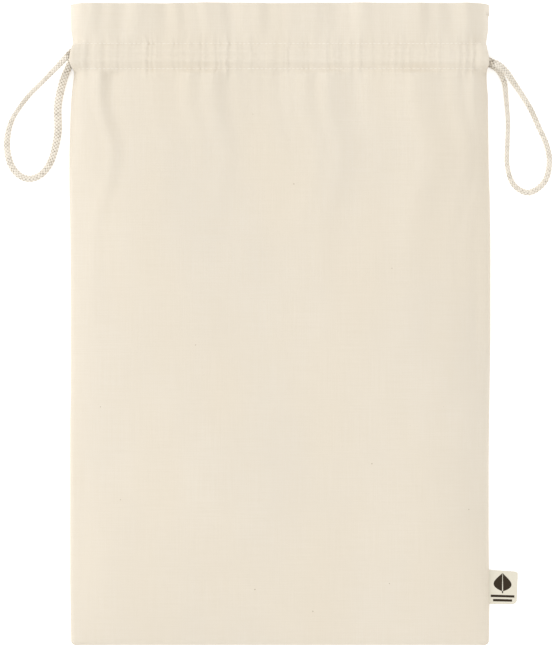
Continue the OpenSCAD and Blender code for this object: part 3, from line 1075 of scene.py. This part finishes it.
def rings(centre, first, second, sides):
    """Rings of points round a line, whose half axes are first and second at each point."""
    turn = np.linspace(0, 2 * math.pi, sides, endpoint=False)[None, :, None]
    return centre[:, None] + np.cos(turn) * first[:, None] + np.sin(turn) * second[:, None]


def tube_faces(rims, start=0):
    """Outward faces of a closed tube through rings of points, which are numbered from start."""
    count, sides = rims.shape[:2]
    ring = np.arange(count - 1)[:, None] * sides + start
    a = np.arange(sides)
    b = (a + 1) % sides
    walls = np.stack([ring + a, ring + sides + a, ring + sides + b, ring + b], 2).reshape(-1, 4)
    ends = [(start + a).tolist(), (start + (count - 1) * sides + a[::-1]).tolist()]
    return walls.tolist() + ends


def braid_mesh(name, line, sideways, half_wide, half_high, cord, step, sides, core_sides):
    """Ten strands plaited round a core, along a line. sideways is the cord's flat direction."""
    centre, along = resample(line, step)
    ahead = unit(np.gradient(centre, axis=0))
    across = sideways(ahead)
    up = unit(np.cross(across, ahead))
    share = along / along[-1]
    wide, high = half_wide(share)[:, None], half_high(share)[:, None]
    broad = cord.strand / 2 * ((wide + high) / (4.6 * MM)) ** 1.2
    # Painted shade at both ends of the braid (for a loop, where it leaves and re-enters its slit), partly a darker
    # braid there, and a random darkening along the cord.
    wear_and_shade = 1 - 0.28 * bell(share / 0.02) - 0.12 * bell((1 - share) / 0.02)
    wear_and_shade = wear_and_shade - 0.12 * (1 + rough_line(along, 1.6 * MM, 91))
    laid = along / cord.lay
    ring = np.linspace(0, 2 * math.pi, sides, endpoint=False)
    tubes, depth, uv = [], [], []
    for turn in (1, -1):
        over = turn * np.cos(2 * math.pi * STRANDS * laid)
        out = STRAND_RISE * over[:, None] - STRAND_R - STRAND_RISE
        for k in range(STRANDS):
            angle = 2 * math.pi * (turn * laid + k / STRANDS)[:, None]
            a, b = wide + out, high + out
            spine = centre + a * np.cos(angle) * across + b * np.sin(angle) * up
            normal = unit(b * np.cos(angle) * across + a * np.sin(angle) * up)
            width = unit(np.cross(np.gradient(spine, axis=0), normal))
            tubes.append(rings(spine, broad * width, STRAND_R * normal, sides))
            # Painted shade: a strand is darker where it dips under the others and on its side towards the core.
            depth.append(np.outer((0.72 + 0.28 * over) * wear_and_shade, 0.85 + 0.15 * np.sin(ring)))
            uv.append(np.stack(np.broadcast_arrays(
                ring / 6.3 + k * 1.7 + turn, 2 * laid[:, None]), 2))
    inner = STRAND_R + STRAND_RISE + 0.25 * MM
    core = rings(centre, (wide - inner) * across, (high - inner) * up, core_sides)
    tubes.append(core)
    # The core, seen only in the gaps, takes the full painted gap shade.
    depth.append(np.zeros(core.shape[:2]))
    uv.append(np.zeros((*core.shape[:2], 2)))
    points = np.concatenate([t.reshape(-1, 3) for t in tubes])
    starts = np.cumsum([0] + [t.size // 3 for t in tubes[:-1]])
    faces = [f for t, start in zip(tubes, starts, strict=True) for f in tube_faces(t, start)]
    mesh = mesh_from(
        name, points, faces, uv=np.concatenate([v.reshape(-1, 2) for v in uv]), layer="Strand")
    depth = np.concatenate([d.ravel() for d in depth]).astype(np.float32)
    mesh.attributes.new("Depth", "FLOAT", "POINT").data.foreach_set("value", depth)
    return mesh, centre


def flat_on_ground(ahead):
    """Sideways direction of a cord that lies on its flat side."""
    return unit(np.cross(ahead, np.array([0.0, 0.0, 1.0])))


def along_y(ahead):
    """Sideways direction of a cord inside the casing."""
    return np.tile(np.array([0.0, 1.0, 0.0]), (len(ahead), 1))


# ---- The label --------------------------------------------------------------------------------


def label_place(x, y, z):
    """A place on the label as it lies: a little askew, and lower and wavy away from the seam."""
    out = (x - LABEL_ROOT_X) / (LABEL_HIGH.x - LABEL_ROOT_X)
    up = (y - LABEL_LOW.y) / (LABEL_HIGH.y - LABEL_LOW.y)
    away = np.clip((x - HALF_W) / (LABEL_HIGH.x - HALF_W), 0, 1)
    dip = away * (0.25 * np.sin(5 * up) - 0.35) * MM
    y = y - LABEL_SKEW * out * (0.3 + 0.7 * smooth(up))
    return np.stack(np.broadcast_arrays(x, y, LABEL_Z + z + dip), -1)


def label_line(share, y, z, corner):
    """One line of the tape along the seam, at a share of the way out to its rounded fold."""
    up = (y - LABEL_LOW.y) / (LABEL_HIGH.y - LABEL_LOW.y)
    reach = LABEL_HIGH.x - LABEL_SHORT + LABEL_SLOPE * up
    for from_edge, r in ((y - LABEL_LOW.y, corner), (LABEL_HIGH.y - y, corner / 2)):
        k = np.clip((r - from_edge) / r, 0, 1)
        reach = reach - r * (1 - np.sqrt(1 - k**2))
    return label_place(LABEL_ROOT_X + (reach - LABEL_ROOT_X) * share, y, z)


def leaf_strips():
    """Strips of an upright leaf with a midrib and a stem, over two bars: left, right and y."""
    t = np.linspace(0, 1, 25)
    half = LEAF_HALF * np.sin(math.pi * t**0.8) * (1 - 0.25 * t)
    rib = RIB_HALF * (1 - 0.6 * t)
    edge = np.maximum(half, rib + PRINT_GAP)
    up = LEAF_LOW + LEAF_TALL * t
    stem = LEAF_LOW + np.linspace(-1.4, 0.2, 4) * MM
    across = np.full(len(stem), STEM_HALF)
    strips = [(-edge, -rib, up), (rib, edge, up), (-across, across, stem)]
    for at, wide in BARS:
        rows = LABEL_LOW.y + at + np.array([-BAR_HALF, 0, BAR_HALF])
        cuts = np.linspace(-wide / 2, wide / 2, 13)
        strips += [(0 * rows + a, 0 * rows + b, rows) for a, b in itertools.pairwise(cuts)]
    return strips


# ---- Operators --------------------------------------------------------------------------------


class SACK_OT_stage(bpy.types.Operator):
    """Make the camera, the soft studio light and the pale floor"""

    bl_idname = "sack.stage"
    bl_label = "Stage"

    def execute(self, context):
        scene = context.scene
        scene.view_settings.view_transform = "Standard"
        camera = bpy.data.cameras.new("Camera")
        camera.lens, camera.sensor_width, camera.clip_end = 200, 36, 20
        distance = VIEW_HEIGHT * camera.lens / camera.sensor_width
        scene.camera = self.put(scene, camera, (0, VIEW_Y, distance + VIEW_TOP_Z))
        for name, place, size, power in LAMPS:
            light = bpy.data.lights.new(name, "AREA")
            light.size, light.energy = size, power
            lamp = self.put(scene, light, place)
            lamp.rotation_euler = (-lamp.location).to_track_quat("-Z", "Y").to_euler()
        world = bpy.data.worlds.new("Studio")
        world.use_nodes = True
        sky = world.node_tree.nodes["Background"].inputs
        sky["Color"].default_value = (1, 1, 1, 1)
        sky["Strength"].default_value = 1.0
        scene.world = world
        self.floor()
        return {"FINISHED"}

    def put(self, scene, data, place):
        """An object of the scene that holds a camera or a light."""
        made = bpy.data.objects.new(data.name, data)
        made.location = place
        scene.collection.objects.link(made)
        return made

    def floor(self):
        """A plain floor of pale paper, just under the sack."""
        span = FLOOR_HALF
        corners = [(-span, -span), (span, -span), (span, span), (-span, span)]
        ground = bpy.data.meshes.new("Floor")
        ground.from_pydata([(x, y, FLOOR_Z) for x, y in corners], [], [(0, 1, 2, 3)])
        paper = Surface("Paper floor", 0.95)
        paper.shader.inputs["Emission Color"].default_value = (1, 1, 1, 1)
        paper.shader.inputs["Emission Strength"].default_value = 0.3
        speckle = paper.ramp(paper.noise(paper.place((40, 40, 40))), 0.3, 0.7)
        ground.materials.append(paper.finish(paper.mix(speckle, (0.95,) * 3, (0.965,) * 3)))
        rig.stage(add_object("Floor", ground))


class SACK_OT_cords(bpy.types.Operator):
    """Make both drawcords: the free loops, the runs in the casing and their whipped joins"""

    bl_idname = "sack.cords"
    bl_label = "Cords"

    def execute(self, context):
        cord = context.scene.sack_cord
        yarn = braided_cotton(cord)
        for side, word, route, widths, y in (
            (-1, "left", LEFT_ROUTE, LEFT_WIDTHS, LEFT_CORD_Y),
            (1, "right", RIGHT_ROUTE, RIGHT_WIDTHS, RIGHT_CORD_Y),
        ):
            self.loop(side, word, route, widths, y, cord, yarn)
            self.run(side, word, y, cord, yarn)
            self.whipping(word, context.scene.sack_stitch)
        return {"FINISHED"}

    def loop(self, side, word, route, widths, y, cord, yarn):
        """The free loop outside a slit, which flattens and lies down where it meets the ground."""
        shares, wide = np.array(widths).T

        def half_wide(share):
            return np.interp(share, shares, wide) * MM / 2

        def half_high(share):
            return np.clip(LOOP_AREA / half_wide(share), *LOOP_HALF_HIGH)

        ends = [(side * EXIT_X, y, FRONT_CORD_Z), (side * EXIT_X, y, BACK_CORD_Z)]
        line = smooth_route([ends[0], *np.array(route) * MM, ends[1]])
        line, along = resample(line, 1 * MM)
        drop = ROUND_Z - half_high(along / along[-1])
        line[:, 2] -= drop * smooth((8 * MM - line[:, 2]) / (4 * MM))
        name = f"{word}_loop_braid"
        mesh, centre = braid_mesh(
            name, line, flat_on_ground, half_wide, half_high, cord, *LOOP_DETAIL)
        piece = finish_piece(
            name, mesh, yarn, "cotton_cord", f"{word}_cord_loop", f"{word}_loop")
        total = float(np.linalg.norm(np.diff(centre, axis=0), axis=1).sum())
        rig.cord(
            piece, exit=ends[0], length=round(total, 3), diameter=2 * CORD_R, far_end="object",
            stiffness="limp", lay="loose", path=centre[::6])

    def run(self, side, word, y, cord, yarn):
        """The cord inside the casing, round the far slit and back."""
        straight = np.linspace(-EXIT_X - 1.0 * MM, TURN_X, 40)
        mid_z = (FRONT_CORD_Z + BACK_CORD_Z) / 2
        front = [(x, y, FRONT_CORD_Z) for x in straight]
        bend = [
            (TURN_X + TURN_R * math.cos(a), y, mid_z + TURN_R * math.sin(a))
            for a in np.radians(np.linspace(85, -85, 18))
        ]
        back = [(x, y, BACK_CORD_Z) for x in straight[::-1]]
        line = np.array(front + bend + back) * (-side, 1, 1)

        def half(share):
            return np.full(len(share), RUN_HALF)

        name = f"{word}_run_braid"
        mesh, _ = braid_mesh(name, line, along_y, half, half, cord, *RUN_DETAIL)
        finish_piece(name, mesh, yarn, "cotton_cord", f"{word}_cord_run", f"{word}_cord")

    def whipping(self, word, stitch):
        """Thread wound tightly round the two ends of a cord, where they meet in the casing."""
        low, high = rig.box(f"{word}_cord_join")
        centre = (low + high) / 2
        thick = WHIPPING_SHARE * stitch.thick
        turns = int((high.x - low.x - thick) / thick)
        angle = np.linspace(0, turns * 2 * math.pi, turns * 20 + 1)
        x = np.linspace(low.x + thick / 2, high.x - thick / 2, len(angle))
        out = np.stack([0 * angle, np.cos(angle), np.sin(angle)], 1)
        line = np.stack([x, 0 * x + centre.y, 0 * x + centre.z], 1)
        line = line + (high.y - low.y - thick) / 2 * out
        ahead = np.broadcast_to([1.0, 0.0, 0.0], out.shape)
        coil = rings(line, thick / 2 * out, thick / 2 * ahead, 6)
        name = f"{word}_whipping"
        mesh = mesh_from(name, coil.reshape(-1, 3), tube_faces(coil))
        finish_piece(
            name, mesh, shared("Sewing thread", sewing_thread, stitch), "cotton_thread",
            f"{word}_cord_join", f"{word}_cord")


class SACK_OT_cloth(bpy.types.Operator):
    """Make the front and back panels and their folded-in hems"""

    bl_idname = "sack.cloth"
    bl_label = "Cloth"

    def execute(self, context):
        cloth = context.scene.sack_cloth
        cotton = shared("Cotton cloth", cotton_cloth, cloth)
        for front, word in ((True, "front"), (False, "back")):
            grid, mid = panel_grid(cloth, front)
            for sheet in cloth_halves(
                f"{word}_cloth", f"{word}_panel", grid, mid, cloth, cotton
            ):
                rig.sheet(
                    sheet, flat=(HALF_W, MOUTH_Y - BOTTOM_Y), held="laid",
                    rests_on=["bottom_seam"])
            grid, mid = hem_grid(cloth, front)
            for hem in cloth_halves(
                f"{word}_hem_cloth", f"{word}_hem", grid, mid, cloth, cotton
            ):
                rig.sheet(
                    hem, flat=(TURN_X, MOUTH_Y - HEM_LOW), held="folded",
                    rests_on=[f"{word}_panel"])
        return {"FINISHED"}


class SACK_OT_seams(bpy.types.Operator):
    """Make the folded allowances inside the side and bottom seams"""

    bl_idname = "sack.seams"
    bl_label = "Seams"

    def execute(self, context):
        cloth, stitch = context.scene.sack_cloth, context.scene.sack_stitch
        for side, word in SIDES:
            for part, low, high in (
                ("", BOTTOM_Y + CORNER_GAP, SLIT_LOW), ("_top", SLIT_HIGH, MOUTH_Y - MOUTH_GAP)
            ):
                y = np.arange(low, high, 3 * MM)[:, None]
                inward = np.linspace(0, 1, 7)[:: -side] * (SEAM_W - 3 * MM)
                x = side * (half_width(y, side) - 1.3 * MM - inward)
                z = SIDE_ALLOWANCE_Z + ALLOWANCE_WAVE * rough_line(y, 7 * MM, 61)
                grid = np.stack(np.broadcast_arrays(x, y, z), 2)
                inner = grid[:, 0] if side > 0 else grid[:, -1]
                line = inner + [side * OVERLOCK_IN, 0, OVERLOCK_UP]
                piece = self.allowance(
                    f"{word}_allowance{part}", grid, cloth, f"{word}_side_seam")
                gather(piece, side)
                gather(stitch_row(f"{word}_overlock{part}", line, stitch), side)
        x = np.linspace(-HALF_W + CORNER_GAP, HALF_W - CORNER_GAP, 140)
        y = BOTTOM_Y + np.linspace(1.4, 6.4, 6)[:, None] * MM
        z = BOTTOM_ALLOWANCE_Z + ALLOWANCE_WAVE * rough_line(x, 7 * MM, 62)
        grid = np.stack(np.broadcast_arrays(x, y, z), 2)
        self.allowance("bottom_allowance", grid, cloth, "bottom_seam", "root")
        stitch_row(
            "bottom_overlock", grid[-1] + [0, -OVERLOCK_IN, OVERLOCK_UP], stitch, body="root")
        return {"FINISHED"}

    def allowance(self, name, grid, cloth, node, body=None):
        """Two plies of cloth pressed together, under a grid of points."""
        mesh = ply_mesh(name, grid, 2 * cloth.ply, cut_uv(grid))
        cotton = shared("Cotton cloth", cotton_cloth, cloth)
        return finish_piece(name, mesh, cotton, "cotton_cloth", node, body)


class SACK_OT_stitches(bpy.types.Operator):
    """Make the two rows of stitches along the channel, front and back"""

    bl_idname = "sack.stitches"
    bl_label = "Stitches"

    def execute(self, context):
        cloth, stitch = context.scene.sack_cloth, context.scene.sack_stitch
        above = 0.2 * stitch.thick
        for name, row in (("upper", UPPER_ROW), ("lower", LOWER_ROW)):
            for side, word in SIDES:
                u = side * np.linspace(0.004, 0.965, 400)
                y = row + 0.12 * MM * rough_line(u * HALF_W, 9 * MM, 71)
                x = u * half_width(y, side)
                front = np.stack([x, y, front_z(u, x, y, cloth) + above], 1)
                back = np.stack([x, y, back_hem_z(x, y) + above], 1)
                on_hem = np.abs(x) < TURN_X - 3 * MM
                for panel, line in (("front", front), ("back", back[on_hem])):
                    piece = stitch_row(
                        f"{panel}_{name}_thread_{word}", line, stitch, f"{panel}_{name}_stitch")
                    gather(piece, side)
        return {"FINISHED"}


class SACK_OT_label(bpy.types.Operator):
    """Make the folded side label and its printed leaf"""

    bl_idname = "sack.label"
    bl_label = "Label"

    def execute(self, context):
        label = context.scene.sack_label
        shares = np.concatenate([np.linspace(0, 0.93, 24), np.linspace(0.94, 1, 6)])
        y = np.linspace(LABEL_LOW.y, LABEL_HIGH.y, 48)
        top = LABEL_GAP + label.tape
        turn = []
        for angle in np.radians(np.linspace(-70, 70, 7)):
            line = label_line(1.0, y, top * math.sin(angle), label.round)
            line[:, 0] += top * math.cos(angle) - LABEL_GAP
            turn.append(line)
        lower = [label_line(share, y, -top, label.round) for share in shares]
        upper = [label_line(share, y, top, label.round) for share in shares[::-1]]
        grid = np.array(lower + turn + upper)
        mesh = ply_mesh("label_tape", grid, label.tape, cut_uv(grid))
        piece = finish_piece("label_tape", mesh, label_tape(label), "label_tape", "side_label")
        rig.blend(
            piece, "root", "label", start=(LABEL_LOW.x - 0.7 * MM, 0, LABEL_Z),
            end=(LABEL_LOW.x + 0.9 * MM, 0, LABEL_Z))
        self.print_leaf(label, top)
        return {"FINISHED"}

    def print_leaf(self, label, top):
        """The print on the label's upper face, a thin layer of ink."""
        points, faces = [], []
        for left, right, y in leaf_strips():
            first = len(points)
            x = PRINT_X + np.stack([left, right], 1)
            points.extend(label_place(x, y[:, None], top + PRINT_GAP).reshape(-1, 3))
            faces += [(i, i + 1, i + 3, i + 2) for i in range(first, len(points) - 2, 2)]
        mesh = mesh_from("label_print", np.array(points), faces, range(len(faces)))
        piece = finish_piece("label_print", mesh, print_ink(label), "label_tape", body="label")
        ink = piece.modifiers.new("Ink", "SOLIDIFY")
        ink.thickness, ink.offset = INK_DEEP, 1


class SACK_PT_panel(bpy.types.Panel):
    """Lists the sack's pieces and settings"""

    bl_label = "Gift Sack"
    bl_idname = "SACK_PT_panel"
    bl_space_type = "VIEW_3D"
    bl_region_type = "UI"
    bl_category = "Gift Sack"

    def draw(self, context):
        layout = self.layout
        for operator in OPERATORS:
            layout.operator(operator.bl_idname)
        for name, group in SETTINGS.items():
            box = layout.box()
            for key in group.__annotations__:
                box.prop(getattr(context.scene, name), key)


OPERATORS = (
    SACK_OT_stage, SACK_OT_cords, SACK_OT_cloth, SACK_OT_seams, SACK_OT_stitches, SACK_OT_label,
)
CLASSES = (*SETTINGS.values(), *OPERATORS, SACK_PT_panel)


def register():
    for cls in CLASSES:
        bpy.utils.register_class(cls)
    for name, group in SETTINGS.items():
        setattr(bpy.types.Scene, name, bpy.props.PointerProperty(type=group))


def unregister():
    for name in SETTINGS:
        delattr(bpy.types.Scene, name)
    for cls in reversed(CLASSES):
        bpy.utils.unregister_class(cls)


def main():
    register()
    for operator in OPERATORS:
        getattr(bpy.ops.sack, operator.bl_idname.split(".")[1])()
    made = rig.bounds()
    with open("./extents.json", "w") as out:
        json.dump({"cad": [list(c) for c in CAD_BOX], "visual": [list(c) for c in made]}, out)


if __name__ == "__main__":
    main()
